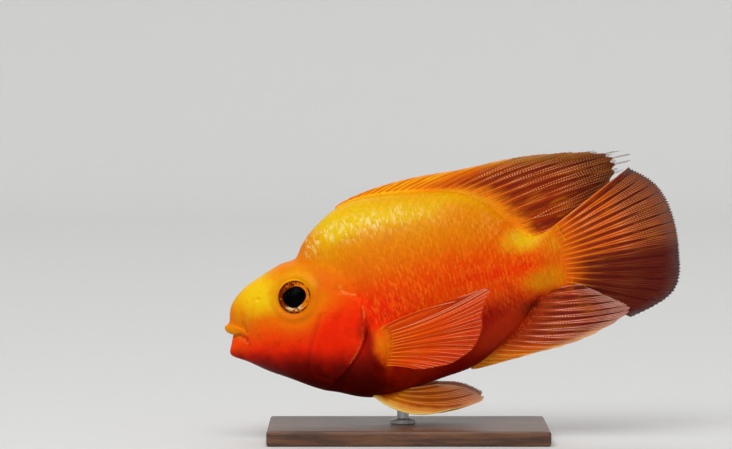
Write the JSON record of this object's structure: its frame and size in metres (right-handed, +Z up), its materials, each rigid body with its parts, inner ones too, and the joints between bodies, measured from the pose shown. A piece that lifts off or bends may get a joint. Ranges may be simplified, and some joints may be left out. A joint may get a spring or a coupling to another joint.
{
  "type": "blood parrot cichlid display model",
  "caption": "Life-size still model of a deep-bodied orange-red aquarium cichlid swimming nose down, fins spread, on a rod above a flat display base.",
  "frame": {"origin": "middle of the model's box at the underside of the stand's base, which is the floor", "axes": "+X runs from the head to the tail, +Y toward the fish's right side, +Z up"},
  "size_m": [0.1829, 0.0744, 0.1147],
  "materials": {
    "skin": "glossy painted resin in golden yellow, orange and red under clear scales",
    "fin": "thin translucent orange-red membrane with paler rays",
    "eye": "clear dome over a black pupil and a gold iris",
    "stand_wood": "dark satin varnished wood",
    "stand_metal": "satin steel"
  },
  "bodies": {
    "root": {"head": "skin", "gill_cover_left": "skin", "gill_cover_right": "skin", "trunk": "skin", "tail_stalk": "skin", "eye_left": "eye", "eye_right": "eye", "dorsal_fin": "fin", "anal_fin": "fin", "caudal_fin": "fin", "pectoral_fin_left": "fin", "pectoral_fin_right": "fin", "pelvic_fin_left": "fin", "pelvic_fin_right": "fin", "stand_base": "stand_wood", "stand_rod": "stand_metal"}
  },
  "joints": []
}
